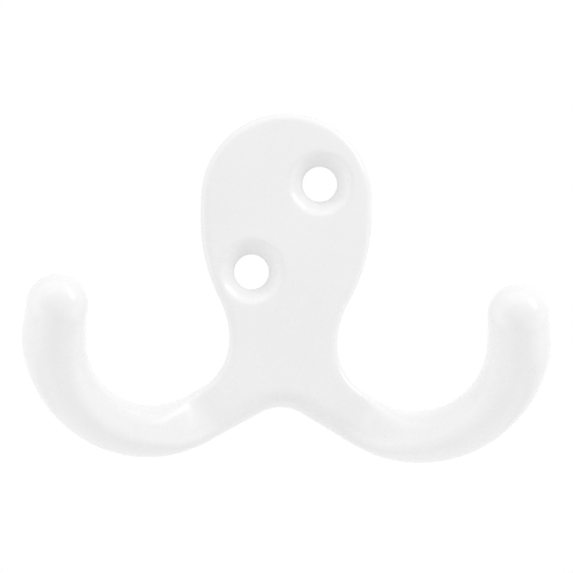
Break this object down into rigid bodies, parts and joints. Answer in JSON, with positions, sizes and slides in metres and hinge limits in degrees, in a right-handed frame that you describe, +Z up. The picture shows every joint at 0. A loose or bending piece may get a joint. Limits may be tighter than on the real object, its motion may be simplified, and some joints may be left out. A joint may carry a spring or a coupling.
{
  "type": "double coat hook",
  "caption": "White painted cast coat hook: a pear-shaped wall plate with countersunk screw holes and paired round arms that sweep out, up and forward.",
  "frame": {"origin": "on the plate's back face, midway between the screw holes", "axes": "+Z up the wall, +Y into the wall, +X to the right as seen from the room"},
  "size_m": [0.0752, 0.0297, 0.051],
  "materials": {
    "white_enamel": "gloss"
  },
  "bodies": {
    "root": {"double_hook": "white_enamel"}
  },
  "joints": []
}
